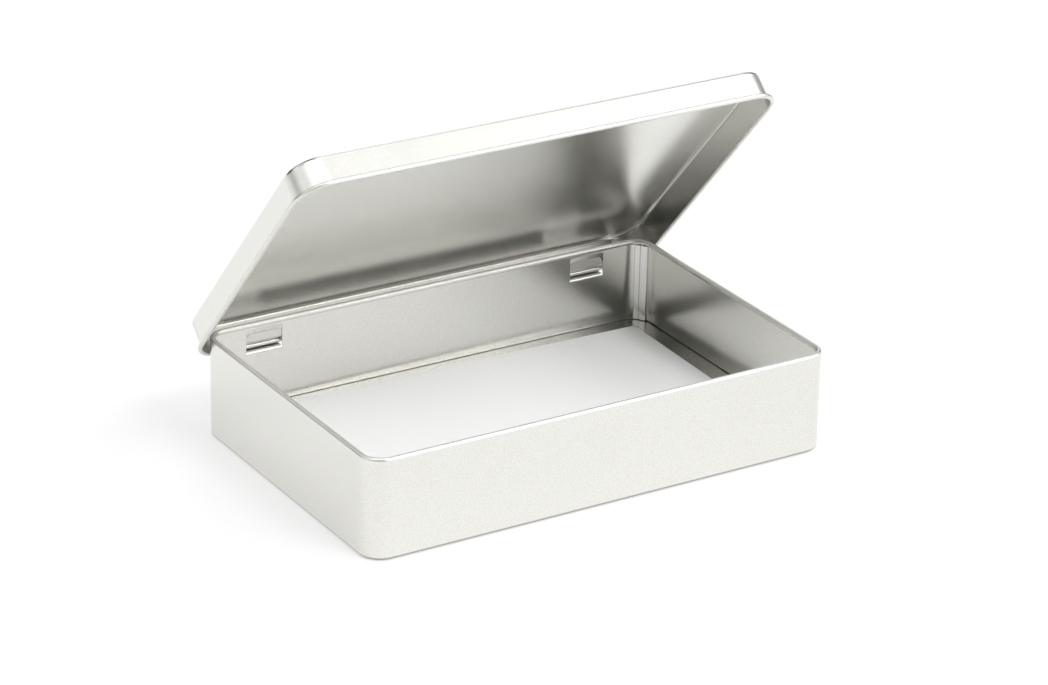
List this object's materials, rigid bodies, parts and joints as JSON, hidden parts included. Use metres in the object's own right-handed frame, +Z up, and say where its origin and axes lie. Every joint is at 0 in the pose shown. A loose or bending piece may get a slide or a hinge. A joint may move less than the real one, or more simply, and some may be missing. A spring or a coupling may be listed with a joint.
{
  "type": "hinged tin box",
  "caption": "Shallow rectangular tinplate box with rounded corners, open on two wrapped-tongue hinges, a card on its floor.",
  "frame": {"origin": "on the plane the tin rests on, below the middle of the bounding box of the tin with its lid open; the body's own middle is 4.74 mm in front of it", "axes": "+X along the tin's long side, -Y towards its front, +Z up"},
  "size_m": [0.1974, 0.1342, 0.1306],
  "materials": {
    "wall_tinplate": "satin",
    "floor_tinplate": "satin",
    "lid_tinplate": "satin",
    "card_paper": "matte"
  },
  "bodies": {
    "base": {"wall": "wall_tinplate", "floor": "floor_tinplate", "card": "card_paper"},
    "lid": {"lid": "lid_tinplate"}
  },
  "joints": [
    {"name": "lid_hinge", "type": "hinge", "parent": "base", "child": "lid", "pos_m": [0, 0.05976, 0.02783], "axis": [-1, 0, 0], "range_deg": [-48.6, 61.4]}
  ]
}
